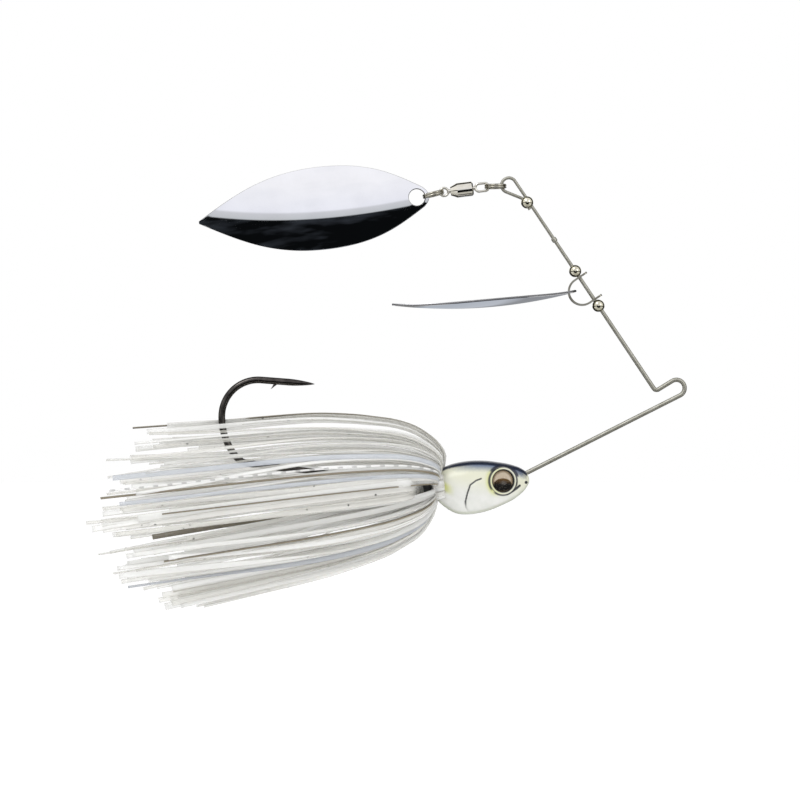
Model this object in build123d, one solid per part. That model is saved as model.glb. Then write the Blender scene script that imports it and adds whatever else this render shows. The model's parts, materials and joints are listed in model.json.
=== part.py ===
from build123d import *
import os
from math import cos, degrees, radians, sin

# A spinnerbait: a painted fish head cast on a hook and a bent wire, a silicone skirt behind it, and two
# willow-leaf blades on the wire's upper arm. Millimetres, with the lure upright as it swims. The origin is
# the centre of the line tie's bend, +X points forwards and +Z up. The wire, the hook and the rear blade lie
# in the plane Y = 0. Angles are in degrees, anticlockwise as seen with +X to the right and +Z up.

# Wire: the lower arm is as thick as the foot, and the upper arm tapers towards the top loop.
foot_dia = 1.0
top_dia = 0.7
line_tie_radius = 1.85
lower_arm_angle = 26.8
nose_x = -34.0
tie_return_angle = 211.5
tie_return_run = 3.6
elbow_radius = 0.8
upper_arm_angle = 123.8
upper_arm_length = 56.1
top_loop_radius = 1.65
top_loop_close_angle = 338.0
tail_gap = 0.06
tail_bend_radius = 0.8
tail_below_bead = 0.3
foot_side_gap = 0.12
foot_stub = 0.6
foot_bend_radius = 0.55
stop_bump_at = 40.2
stop_bump_dia = 1.2
stop_bump_length = 1.0

# Beads on the upper arm, placed by their distance up the arm from the elbow.
bead_dia = 2.8
lower_bead_at = 22.35
upper_bead_at = 31.75
lock_bead_at = 50.6
bead_clearance = 0.05

# Clevis: a bent strap with a hole for the wire in each leg.
strap_thickness = 0.45
strap_width = 1.6
strap_tab = 2.0
strap_leg = 1.25
clevis_gap = 0.05
front_blade_seat_angle = 28.0

# Blades: the outline is given at the rear blade's size, and the front blade is a smaller one.
blade_length = 52.4
blade_half_width = 9.3
blade_sheet = 0.5
blade_cup_long = 2.5
blade_cup_cross = 1.5
rear_hole_dia = 3.7
rear_hole_rim = 0.9
rear_hole_play = 0.4
front_blade_scale = 0.8
front_hole_dia = 2.4
front_hole_rim = 0.7
front_blade_droop = 4.2
rear_blade_droop = 6.6

# Rear chain: split ring, ball-bearing swivel, split ring, rear blade, each hanging at its own slope.
front_ring_droop = 1.5
swivel_droop = 7.0
rear_ring_droop = 14.0
ring_wire = 0.52
ring_pitch = 0.46
ring_outer = 5.0
ring_in_loop = 0.85
ring_seat_angle = 195.0
eye_wire = 0.55
eye_hole_height = 1.2
eye_to_ring = 0.7
front_eye_length = 3.57
rear_eye_length = 2.4
barrel_front = -3.52
barrel_rear = -8.65
barrel_radius = 1.65
barrel_wall = 0.35
barrel_back_wall = 1.1
barrel_cone = 1.5
barrel_end_radius = 0.95
barrel_chamfer = 0.3
rear_eye_gap = 0.25
rivet_radius = 0.8
rivet_thickness = 0.4
shaft_radius = 0.45
flange_radius = 1.05
flange_thickness = 0.6
ball_dia = 0.6
ball_count = 7
ball_ring_radius = 0.85
running_gap = 0.07

# Head casting and eyes. Each station of the head is an ellipse: x, z of its centre, half height, half width.
head_stations = [
    (-53.2, -22.4, 3.7, 3.0),
    (-51.5, -22.6, 4.85, 4.0),
    (-48.0, -22.7, 5.85, 4.7),
    (-44.0, -22.35, 5.85, 4.9),
    (-40.0, -21.8, 4.95, 4.6),
    (-36.5, -21.2, 3.5, 3.6),
    (-34.4, -20.65, 2.05, 2.2),
    (-33.5, -20.5, 0.95, 1.0),
]
nose_rounding = 0.4
eye_centre = (-39.1, -20.8)
eye_out = 4.3
eye_turn = 15.0
eye_dia = 5.2
eye_boss_dia = 6.2
eye_boss_base_dia = 7.4
eye_boss_depth = 2.0
eye_pocket = 0.6
foil_thickness = 0.12
lens_height = 1.25
lens_wall = 0.4
eye_gap = 0.1
core_gap = 0.02

# Hook.
hook_dia = 1.55
hook_eye_radius = 1.6
hook_eye_centre = (-42.6, -24.05)
shank_rise = 7.5
heel = (-98.04, -16.75)
bend_corner = (-102.3, -11.49)
point_corner = (-102.3, 2.49)
point_start = (-87.2, 1.33)
point_length = 5.8
barb_base = (-89.0, -90.3)
barb_tip = (-91.3, -0.3)
barb_half_width = 0.3

# Skirt: hairpin strands in two nested layers under a rubber band, about an axis of their own.
skirt_front = (-54.3, -22.1)
skirt_droop = 7.0
strand_width = 1.0
strand_thickness = 0.35
strands_per_layer = 12
layer_radii = (2.2, 2.6)
band_start = 0.9
band_end = 2.7
band_inner = 2.82
band_outer = 3.6
collar_root = 3.0
collar_radius = 1.7
collar_lip_radius = 1.95
collar_end = 4.4
bell_radius = 16.4
tail_radius = 19.6
tail_length_edge = 64.0
tail_length_side = 74.0


def direction(angle):
    """The unit vector at an angle in the lure's plane."""
    return Vector(cos(radians(angle)), 0, sin(radians(angle)))


def at(x, z, y=0.0):
    """A point from its place in the lure's plane, and its offset from it."""
    return Vector(x, y, z)


def meet(p, p_angle, q, q_angle):
    """Where the line through p and the line through q cross, in the lure's plane."""
    u = direction(p_angle)
    v = direction(q_angle)
    across = q - p
    along = (across.X * v.Z - across.Z * v.X) / (u.X * v.Z - u.Z * v.X)
    return p + u * along


def bend(start, angle, radius, turn):
    """A bend in the lure's plane: its curve, its end and its heading there."""
    side = 90 if turn > 0 else -90
    centre = start + direction(angle + side) * radius
    middle = centre - direction(angle + side + turn / 2) * radius
    end = centre - direction(angle + side + turn) * radius
    return ThreePointArc(start, middle, end), end, angle + turn


def rod(path, diameter):
    """A round wire along a path."""
    return sweep(Plane(origin=path @ 0, z_dir=path % 0) * Circle(diameter / 2), path=path)


def taper(start, end, start_dia, end_dia):
    """A round straight rod whose diameter changes evenly."""
    run = end - start
    base = (Align.CENTER, Align.CENTER, Align.MIN)
    return Plane(origin=start, z_dir=run) * Cone(start_dia / 2, end_dia / 2, run.length, align=base)


def turned(points, plane):
    """A solid of revolution about the plane's local X axis, from its half section (along, radius)."""
    return plane * revolve(make_face(Polyline(*points, close=True)), Axis.X)


# Points and headings along the wire, from the line tie's bend outwards.
tie_start = -line_tie_radius * direction(lower_arm_angle + 90)
tie_arc, tie_end, _ = bend(tie_start, lower_arm_angle, line_tie_radius, tie_return_angle - lower_arm_angle)
elbow_start = tie_end + direction(tie_return_angle) * tie_return_run
elbow_arc, elbow_end, _ = bend(
    elbow_start, tie_return_angle, elbow_radius, upper_arm_angle - tie_return_angle
)
arm_along = direction(upper_arm_angle)
arm_below = direction(upper_arm_angle + 90)
loop_start = elbow_end + arm_along * upper_arm_length
loop_centre = loop_start + arm_below * top_loop_radius
nose = tie_start - direction(lower_arm_angle) * ((tie_start.X - nose_x) / cos(radians(lower_arm_angle)))


def on_arm(distance):
    """A point on the upper arm, by its distance up from the elbow."""
    return elbow_end + arm_along * distance


def across_arm(distance):
    """A plane across the upper arm, with its normal up the arm."""
    return Plane(origin=on_arm(distance), z_dir=arm_along)


def arm_dia(distance):
    """The wire's diameter there: it tapers evenly from the elbow to the lock bead."""
    return foot_dia + (top_dia - foot_dia) * min(distance / lock_bead_at, 1)


def wire_foot(diameter):
    """The lower arm, and the foot that turns beside the hook's eye and through it."""
    beside = foot_dia / 2 + hook_dia / 2 + foot_side_gap
    eye = at(*hook_eye_centre)
    path = FilletPolyline(
        tie_start,
        nose - direction(lower_arm_angle) * 1.5,
        eye + Vector(1.2, beside, 0.9),
        eye + Vector(0, beside, 0),
        eye + Vector(0, -beside - foot_stub, 0),
        radius=foot_bend_radius,
    )
    return rod(path, diameter)


def wire_frame():
    """The whole wire: foot, lower arm, line tie, elbow, tapered upper arm and top loop with its tail."""
    tie_run = Line(tie_end, elbow_start)
    taper_top = on_arm(lock_bead_at)
    loop_arc, loop_end, _ = bend(
        loop_start, upper_arm_angle, top_loop_radius, top_loop_close_angle - upper_arm_angle
    )
    beside_arm = elbow_end + arm_below * (top_dia + tail_gap)
    tail_corner = meet(loop_end, top_loop_close_angle, beside_arm, upper_arm_angle)
    tail_end = beside_arm + arm_along * (lock_bead_at - bead_dia / 2 - tail_below_bead)
    tail = FilletPolyline(loop_end, tail_corner, tail_end, radius=tail_bend_radius)
    bump = across_arm(stop_bump_at) * Cylinder(stop_bump_dia / 2, stop_bump_length)
    bump = fillet(bump.edges().filter_by(GeomType.CIRCLE), 0.2)
    wire = wire_foot(foot_dia) + rod(tie_arc, foot_dia) + rod(tie_run, foot_dia) + rod(elbow_arc, foot_dia)
    wire += taper(elbow_end, taper_top, foot_dia, top_dia)
    wire += rod(Line(taper_top, loop_start), top_dia)
    wire += rod(loop_arc, top_dia) + rod(tail, top_dia)
    return wire + bump


def bearing_bead(distance):
    """A round bead that turns and slides on the upper arm."""
    bore = arm_dia(distance) / 2 + bead_clearance
    return across_arm(distance) * (Sphere(bead_dia / 2) - Cylinder(bore, bead_dia))


def loop_lock_bead():
    """The bead that holds the arm and the loop's tail side by side."""
    spacing = top_dia + tail_gap
    middle = on_arm(lock_bead_at) + arm_below * (spacing / 2)
    section = Plane(origin=middle, x_dir=arm_below, z_dir=arm_along)
    slot = extrude(SlotCenterToCenter(spacing, top_dia + 2 * core_gap), bead_dia, both=True)
    return section * (Sphere(bead_dia / 2) - slot)


clevis_middle = (lower_bead_at + upper_bead_at) / 2
leg_offset = (upper_bead_at - lower_bead_at) / 2 - bead_dia / 2 - clevis_gap - strap_thickness / 2
clevis_plane = Plane(origin=on_arm(clevis_middle), x_dir=arm_along, z_dir=(0, -1, 0))


def clevis():
    """The strap: a tab past the wire, a leg, a half circle, and the other leg and tab."""
    path = (
        Line((leg_offset, -strap_tab), (leg_offset, strap_leg))
        + ThreePointArc((leg_offset, strap_leg), (0, strap_leg + leg_offset), (-leg_offset, strap_leg))
        + Line((-leg_offset, strap_leg), (-leg_offset, -strap_tab))
    )
    section = Plane(origin=(leg_offset, -strap_tab, 0), x_dir=(1, 0, 0), z_dir=(0, 1, 0))
    strap = sweep(section * Rectangle(strap_thickness, strap_width), path=path)
    bore = arm_dia(clevis_middle) / 2 + bead_clearance
    strap -= Rot(Y=90) * Cylinder(bore, 4 * leg_offset)
    tab_ends = strap.faces().filter_by(Axis.Y).sort_by(Axis.Y)[:2]
    corners = tab_ends.edges().filter_by(Axis.X)
    return clevis_plane * fillet(corners, strap_width / 2 - 0.15)


def willow_blade(scale, hole_dia, hole_rim):
    """A cupped willow leaf, pressed from sheet. Its hole is at the origin, its tip towards +X, its width
    along Y, and its hollow side towards +Z."""
    length = blade_length * scale
    half = blade_half_width * scale
    hole_at = hole_rim + hole_dia / 2
    side = [
        (0, 0.16 * half),
        (0.18 * length, 0.72 * half),
        (0.43 * length, half),
        (0.75 * length, 0.73 * half),
        (length, 0.03 * half),
    ]
    upper = Spline(*side)
    lower = Spline(*[(x, -y) for x, y in side])
    front = ThreePointArc(upper @ 0, (-0.05 * half, 0), lower @ 0)
    tip = Line(upper @ 1, lower @ 1)
    outline = make_face(upper + tip + lower + front) - Pos(hole_at, 0) * Circle(hole_dia / 2)
    depth = blade_cup_long * scale
    cross_depth = blade_cup_cross * scale
    long_radius = (length / 2) ** 2 / (2 * depth)
    cross_radius = half**2 / (2 * cross_depth)
    reach = 1.2 * half
    ring = Circle(cross_radius + blade_sheet / 2) - Circle(cross_radius - blade_sheet / 2)
    strip = ring & Pos(0, -cross_radius) * Rectangle(2 * reach, cross_radius)
    strip = Plane.YZ * Pos(0, cross_radius) * strip
    spin = Axis((0, 0, long_radius), (0, 1, 0))
    swing = degrees(1.3 * length / long_radius)
    cup = revolve(strip.rotate(spin, swing / 2), spin, -swing)
    blade = extrude(outline, 10 * scale, both=True) & Pos(length / 2, 0, 0) * cup
    seat = (length / 2 - hole_at) ** 2 / (2 * long_radius)
    return Pos(-hole_at, 0, -seat) * blade


front_blade_seat = clevis_plane * Pos(
    leg_offset * sin(radians(front_blade_seat_angle)),
    strap_leg + leg_offset * cos(radians(front_blade_seat_angle)),
)


def front_blade():
    """The smaller blade, hung on the strap by its hole and hollow side up."""
    leaf = willow_blade(front_blade_scale, front_hole_dia, front_hole_rim)
    along = direction(180 + front_blade_droop)
    return Plane(origin=front_blade_seat.position, x_dir=along, z_dir=Vector(0, 1, 0).cross(along)) * leaf


def link(origin, droop):
    """A link's plane: the origin is its hinge, +X points forwards along it and +Z is up."""
    return Plane(origin=origin, x_dir=-direction(180 + droop), z_dir=direction(90 + droop))


# The rear chain, from the top loop back. Distances along the swivel are from its front eye's wire.
ring_radius = (ring_outer - ring_wire) / 2
ring_reach = 2 * ring_radius - eye_to_ring
ring_seat = loop_centre + direction(ring_seat_angle) * (top_loop_radius - ring_in_loop)
front_ring_plane = link(ring_seat, front_ring_droop)
swivel_plane = link((front_ring_plane * Pos(-ring_reach, 0, 0)).position, swivel_droop)
front_eye_start = eye_wire / 2
rear_eye_start = barrel_rear - rear_eye_gap
rear_eye_wire = rear_eye_start - rear_eye_length + eye_wire / 2
rear_ring_plane = link((swivel_plane * Pos(rear_eye_wire, 0, 0)).position, rear_ring_droop)
rear_blade_plane = link((rear_ring_plane * Pos(-ring_reach, 0, 0)).position, rear_blade_droop)


def split_ring(plane, centre):
    """Two coils of spring wire pressed together, with a cut end on each side."""
    coil = Torus(ring_radius, ring_wire / 2)
    gap = Box(0.12, 2 * ring_wire, ring_wire)
    upper = Pos(0, 0, ring_pitch / 2) * coil - Pos(0.5, ring_radius, ring_pitch / 2 + 0.2) * gap
    lower = Pos(0, 0, -ring_pitch / 2) * coil - Pos(-0.5, -ring_radius, -ring_pitch / 2 - 0.2) * gap
    return plane * Pos(centre, 0, 0) * (upper + lower)


def wire_eye(start, length):
    """An upright long eye of round wire, from its front end back along the chain."""
    rise = (eye_hole_height + eye_wire) / 2
    straight = length - eye_wire - 2 * rise
    middle = start - length / 2
    loop = Pos(middle, 0, 0) * Rot(X=90) * SlotCenterToCenter(straight, 2 * rise)
    return rod(loop.face().outer_wire(), eye_wire)


def swivel_shaft():
    """The front eye, its shaft into the barrel, and the flange behind the balls."""
    neck_start = front_eye_start - front_eye_length + eye_wire * 0.6
    ball_plane = barrel_front - barrel_wall - running_gap - ball_dia / 2
    flange_front = ball_plane - ball_dia / 2 - running_gap
    flange_back = flange_front - flange_thickness
    section = [
        (neck_start, 0),
        (neck_start, shaft_radius),
        (flange_front, shaft_radius),
        (flange_front, flange_radius),
        (flange_back, flange_radius),
        (flange_back, 0),
    ]
    return swivel_plane * wire_eye(front_eye_start, front_eye_length) + turned(section, swivel_plane)


def swivel_barrel():
    """The housing: blunt in front, coned behind, hollow for the balls and the flange."""
    cavity_front = barrel_front - barrel_wall
    cavity_back = barrel_rear + barrel_back_wall
    outside = [
        (barrel_front, 0),
        (barrel_front, barrel_radius - barrel_chamfer),
        (barrel_front - barrel_chamfer, barrel_radius),
        (barrel_rear + barrel_cone, barrel_radius),
        (barrel_rear, barrel_end_radius),
        (barrel_rear, 0),
    ]
    inside = [
        (barrel_front, 0),
        (barrel_front, shaft_radius + running_gap),
        (cavity_front, shaft_radius + running_gap),
        (cavity_front, barrel_radius - barrel_wall),
        (cavity_back, barrel_radius - barrel_wall),
        (cavity_back, shaft_radius + core_gap),
        (barrel_rear, shaft_radius + core_gap),
        (barrel_rear, 0),
    ]
    return turned(outside, swivel_plane) - turned(inside, swivel_plane)


def swivel_balls():
    """The ring of bearing balls between the barrel's front wall and the flange."""
    ball_plane = barrel_front - barrel_wall - running_gap - ball_dia / 2
    ring = swivel_plane * Pos(ball_plane, 0, 0)
    balls = [
        ring * Rot(X=360 * turn / ball_count) * Pos(0, ball_ring_radius, 0) * Sphere(ball_dia / 2)
        for turn in range(ball_count)
    ]
    return Compound(children=balls)


def swivel_rear_eye():
    """The rear eye, whose stub goes through the barrel's back wall and is headed inside."""
    rivet_back = barrel_rear + barrel_back_wall + core_gap
    rivet_front = rivet_back + rivet_thickness
    neck_end = rear_eye_start - eye_wire * 0.6
    section = [
        (neck_end, 0),
        (neck_end, shaft_radius),
        (rivet_back, shaft_radius),
        (rivet_back, rivet_radius),
        (rivet_front, rivet_radius),
        (rivet_front, 0),
    ]
    return swivel_plane * wire_eye(rear_eye_start, rear_eye_length) + turned(section, swivel_plane)


def rear_blade():
    """The larger blade, upright in the lure's plane with its hollow side away towards +Y."""
    leaf = willow_blade(1.0, rear_hole_dia, rear_hole_rim)
    hole_centre = rear_hole_play - rear_hole_dia / 2
    return rear_blade_plane * Pos(hole_centre, 0, 0) * Rot(X=-90) * Rot(Z=180) * leaf


def hook(diameter):
    """The hook: an eye, a straight shank, a round bend, a long point and a barb."""
    eye = at(*hook_eye_centre)
    shank_start = eye + direction(180 - shank_rise) * hook_eye_radius
    path = FilletPolyline(
        shank_start,
        at(*heel),
        at(*bend_corner),
        at(*point_corner),
        at(*point_start),
        radius=[4.2, 14.0, 8.2],
    )
    body = rod(path, diameter)
    ring = Plane(origin=eye, z_dir=(0, 1, 0)) * Torus(hook_eye_radius, diameter / 2)
    return body + ring


def hook_point():
    """The needle point: a long rounded taper, in line with the wire that it ends."""
    along = at(*point_start) - at(*point_corner)
    radius = hook_dia / 2
    tip = 0.05
    side = Spline(
        (0, radius), (0.45 * point_length, 0.78 * radius), (point_length, tip), tangents=[(1, 0), (1, -0.28)]
    )
    half = side + Polyline((point_length, tip), (point_length, 0), (0, 0), (0, radius))
    return Plane(origin=at(*point_start), x_dir=along, z_dir=(0, 1, 0)) * revolve(make_face(half), Axis.X)


def hook_barb():
    """The barb: a thin spur cut up from the inner side of the wire."""
    wire_middle = point_start[1] + 0.1
    front, back = barb_base
    spur = make_face(Polyline((front, wire_middle), barb_tip, (back, wire_middle), close=True))
    return extrude(Plane.XZ * spur, barb_half_width, both=True)


def whole_hook():
    return hook(hook_dia) + hook_point() + hook_barb()


skirt = Plane(origin=at(*skirt_front), x_dir=direction(180 + skirt_droop), z_dir=(0, 1, 0))


def eye_plane(side):
    """The plane of an eye, with its normal outwards. The side is 1 on the left, -1 on the right."""
    out = Vector(sin(radians(eye_turn)), side * cos(radians(eye_turn)), 0)
    return Plane(origin=at(*eye_centre, side * eye_out), z_dir=out)


def head_casting():
    """The head: a fish head lofted through ellipses, eye bosses with pockets, and the skirt collar."""
    sections = [
        Plane(origin=(x, 0, z), x_dir=(0, 1, 0), z_dir=(1, 0, 0)) * Ellipse(half_width, half_height)
        for x, z, half_height, half_width in head_stations
    ]
    head = loft(sections)
    head = fillet(head.faces().sort_by(Axis.X)[-1].edges(), nose_rounding)
    inwards = (Align.CENTER, Align.CENTER, Align.MAX)
    outwards = (Align.CENTER, Align.CENTER, Align.MIN)
    for side in (-1, 1):
        boss = Cone(eye_boss_base_dia / 2, eye_boss_dia / 2, eye_boss_depth, align=inwards)
        head += eye_plane(side) * boss
    for side in (-1, 1):
        pocket = Cylinder(eye_dia / 2, eye_boss_depth, align=outwards)
        head -= eye_plane(side) * Pos(0, 0, -eye_pocket) * pocket
    collar = [
        (-collar_root, 0),
        (-collar_root, collar_radius),
        (collar_end - 1.0, collar_radius),
        (collar_end - 0.8, collar_lip_radius),
        (collar_end - 0.3, collar_lip_radius),
        (collar_end, collar_radius),
        (collar_end, 0),
    ]
    head += turned(collar, skirt)
    return head - hook(hook_dia + 2 * core_gap) - wire_foot(foot_dia + 2 * core_gap)


def eye_foil(side):
    """The printed foil disc on the floor of an eye pocket."""
    base = (Align.CENTER, Align.CENTER, Align.MIN)
    disc = Cylinder(eye_dia / 2 - eye_gap, foil_thickness, align=base)
    return eye_plane(side) * Pos(0, 0, -eye_pocket + core_gap / 2) * disc


def eye_lens(side):
    """The clear dome over the foil."""
    rim = eye_dia / 2 - eye_gap
    rise = lens_height - lens_wall
    dome_radius = (rim**2 + rise**2) / (2 * rise)
    base = (Align.CENTER, Align.CENTER, Align.MIN)
    blank = Cylinder(rim, 2 * lens_height, align=base)
    dome = blank & Pos(0, 0, lens_height - dome_radius) * Sphere(dome_radius)
    return eye_plane(side) * Pos(0, 0, -eye_pocket + foil_thickness + core_gap) * dome


def skirt_band():
    """The rubber band over the strands, round in section at its edges."""
    length = band_end - band_start
    base = (Align.CENTER, Align.CENTER, Align.MIN)
    band = Cylinder(band_outer, length, align=base) - Cylinder(band_inner, length, align=base)
    band = fillet(band.edges().filter_by(GeomType.CIRCLE), 0.3)
    return skirt * Pos(band_start, 0, 0) * Rot(Y=90) * band


def strand(layer, azimuth, pitch):
    """One hairpin of ribbon: back under the band, out in front of it, and back again outside. The inner leg
    is cut short where the hook's shank leaves the collar."""
    start_radius = layer_radii[layer]
    nest = 0.45 * layer
    up = cos(radians(azimuth))
    sideways = sin(radians(azimuth)) ** 2
    lean = 1.3 * up
    under_hook = abs((azimuth + 180) % 360 - 180) < pitch
    outer_tip = tail_length_edge + (tail_length_side - tail_length_edge) * sideways - 2.5 * layer
    inner_tip = tail_length_side - 3.0 + 2.0 * up
    inner_radius = 7.0 + 4.5 * layer
    flare = (-0.3 - lean + nest, 8.0 - nest)
    shoulder = (5.5 + 0.5 * nest, bell_radius - nest)
    tail = (outer_tip, tail_radius - 2.0 * nest)
    if under_hook:
        leg = [(4.2, start_radius)]
        radii = []
    else:
        leg = [(inner_tip, inner_radius), (6.5, start_radius)]
        radii = [30.0]
    points = leg + [(nest, start_radius), flare, shoulder, tail]
    path = FilletPolyline(*points, radius=radii + [0.6, 7.0, 12.0])
    section = Plane(origin=path @ 0, z_dir=path % 0, x_dir=(0, 0, 1))
    ribbon = sweep(section * Rectangle(strand_width, strand_thickness), path=path)
    return skirt * Rot(X=azimuth) * ribbon


def skirt_strands(colour, colours):
    """Every strand of one colour: the colours take turns round each layer."""
    pitch = 360 / strands_per_layer
    chosen = []
    for layer in range(len(layer_radii)):
        for place in range(strands_per_layer):
            if (place + 2 * layer) % colours == colour:
                chosen.append(strand(layer, pitch * (place + 0.25 + 0.5 * layer), pitch))
    return Compound(children=chosen)


strand_names = ("pearl", "clear_flake", "blue_grey", "smoke")

parts = {
    "wire_frame": wire_frame(),
    "loop_lock_bead": loop_lock_bead(),
    "lower_bearing_bead": bearing_bead(lower_bead_at),
    "upper_bearing_bead": bearing_bead(upper_bead_at),
    "clevis": clevis(),
    "front_blade": front_blade(),
    "front_split_ring": split_ring(front_ring_plane, -ring_radius),
    "swivel_shaft": swivel_shaft(),
    "swivel_barrel": swivel_barrel(),
    "swivel_balls": swivel_balls(),
    "swivel_rear_eye": swivel_rear_eye(),
    "rear_split_ring": split_ring(rear_ring_plane, eye_to_ring - ring_radius),
    "rear_blade": rear_blade(),
    "hook": whole_hook(),
    "head_casting": head_casting(),
    "skirt_band": skirt_band(),
}
for name, side in (("left", 1), ("right", -1)):
    parts[f"eye_foil_{name}"] = eye_foil(side)
    parts[f"eye_lens_{name}"] = eye_lens(side)
for number, name in enumerate(strand_names):
    parts[f"skirt_strands_{name}"] = skirt_strands(number, len(strand_names))

os.makedirs("parts", exist_ok=True)
for name, part in parts.items():
    export_step(part, f"parts/{name}.step")
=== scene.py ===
import json
import math
import random

import bpy
import numpy as np
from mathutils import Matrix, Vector
from mathutils.geometry import delaunay_2d_cdt


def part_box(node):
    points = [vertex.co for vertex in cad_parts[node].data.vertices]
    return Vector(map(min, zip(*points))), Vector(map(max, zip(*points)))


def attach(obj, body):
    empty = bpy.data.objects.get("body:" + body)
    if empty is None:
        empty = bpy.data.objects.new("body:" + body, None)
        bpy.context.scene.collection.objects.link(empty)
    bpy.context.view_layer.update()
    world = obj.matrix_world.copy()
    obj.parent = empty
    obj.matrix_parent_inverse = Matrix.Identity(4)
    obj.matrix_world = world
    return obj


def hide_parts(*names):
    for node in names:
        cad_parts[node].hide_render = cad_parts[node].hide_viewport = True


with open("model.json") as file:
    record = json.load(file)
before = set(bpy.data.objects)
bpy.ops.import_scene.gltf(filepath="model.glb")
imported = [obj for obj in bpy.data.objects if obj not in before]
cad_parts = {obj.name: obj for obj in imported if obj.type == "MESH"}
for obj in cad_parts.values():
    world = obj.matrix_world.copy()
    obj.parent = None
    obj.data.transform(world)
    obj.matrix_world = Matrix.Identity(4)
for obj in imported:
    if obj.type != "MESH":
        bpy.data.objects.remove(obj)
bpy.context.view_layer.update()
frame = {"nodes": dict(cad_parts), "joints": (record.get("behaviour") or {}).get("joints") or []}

# A spinnerbait. Lengths are in millimetres where a name ends in _mm or a comment says so, and are turned
# into metres where meshes are made.
MM = 0.001
joints = {joint["name"]: joint for joint in frame["joints"]}
nodes = frame["nodes"]


# ---------------------------------------------------------------- mesh helpers

def add_mesh(name, verts_mm, faces, material, body, replaced=()):
    """A smooth-shaded mesh object from vertices in millimetres, riding on a CAD body."""
    mesh = bpy.data.meshes.new(name)
    mesh.from_pydata((np.asarray(verts_mm, float) * MM).tolist(), [], faces)
    mesh.validate()
    mesh.shade_smooth()
    mesh.materials.append(material)
    obj = bpy.data.objects.new(name, mesh)
    bpy.context.scene.collection.objects.link(obj)
    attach(obj, body)
    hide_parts(*replaced)
    return obj


def add_values(obj, **values):
    """Stores one number per vertex under each name, for the material to read."""
    for name, numbers in values.items():
        attribute = obj.data.attributes.new(name, "FLOAT", "POINT")
        attribute.data.foreach_set("value", np.asarray(numbers, np.float32))


def tube_faces(rows, columns, first=0):
    """Quads of a grid that is closed across its columns."""
    faces = []
    for r in range(rows - 1):
        for c in range(columns):
            d = (c + 1) % columns
            a = first + r * columns
            faces.append((a + c, a + d, a + columns + d, a + columns + c))
    return faces


def smooth_step(low, high, x):
    t = np.clip((x - low) / (high - low), 0, 1)
    return t * t * (3 - 2 * t)


def natural_spline(xs, ys, x):
    """A natural cubic spline through the points, read at x."""
    xs, ys, x = (np.asarray(v, float) for v in (xs, ys, x))
    n = len(xs)
    h = np.diff(xs)
    a = np.eye(n)
    b = np.zeros(n)
    for i in range(1, n - 1):
        a[i, i - 1:i + 2] = h[i - 1], 2 * (h[i - 1] + h[i]), h[i]
        b[i] = 6 * ((ys[i + 1] - ys[i]) / h[i] - (ys[i] - ys[i - 1]) / h[i - 1])
    m = np.linalg.solve(a, b)
    i = np.clip(np.searchsorted(xs, x) - 1, 0, n - 2)
    t, hi = x - xs[i], h[i]
    slope = (ys[i + 1] - ys[i]) / hi - hi * (2 * m[i] + m[i + 1]) / 6
    return ys[i] + slope * t + m[i] * t**2 / 2 + (m[i + 1] - m[i]) * t**3 / (6 * hi)


def smooth_path(points, count):
    """Points evenly spaced along a Catmull-Rom curve."""
    p = np.asarray(points, float)
    p = np.vstack([2 * p[0] - p[1], p, 2 * p[-1] - p[-2]])
    fine = []
    for i in range(1, len(p) - 2):
        for t in np.linspace(0, 1, 24, endpoint=False):
            fine.append(0.5 * (
                2 * p[i] + (p[i + 1] - p[i - 1]) * t
                + (2 * p[i - 1] - 5 * p[i] + 4 * p[i + 1] - p[i + 2]) * t * t
                + (3 * p[i] - 3 * p[i + 1] + p[i + 2] - p[i - 1]) * t**3
            ))
    fine.append(p[-2])
    fine = np.array(fine)
    length = np.concatenate([[0], np.cumsum(np.linalg.norm(np.diff(fine, axis=0), axis=1))])
    want = np.linspace(0, length[-1], count)
    return np.column_stack([np.interp(want, length, fine[:, k]) for k in range(fine.shape[1])]), want


def unit_rows(v):
    return v / np.maximum(np.linalg.norm(v, axis=1, keepdims=True), 1e-9)


# ---------------------------------------------------------------- material helpers

def new_material(name, **constants):
    """A material whose constant values are set on the shader's own sockets."""
    material = bpy.data.materials.new(name)
    material.use_nodes = True
    shader = material.node_tree.nodes["Principled BSDF"]
    for socket, value in constants.items():
        shader.inputs[socket.replace("_", " ")].default_value = value
    return material, shader


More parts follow.
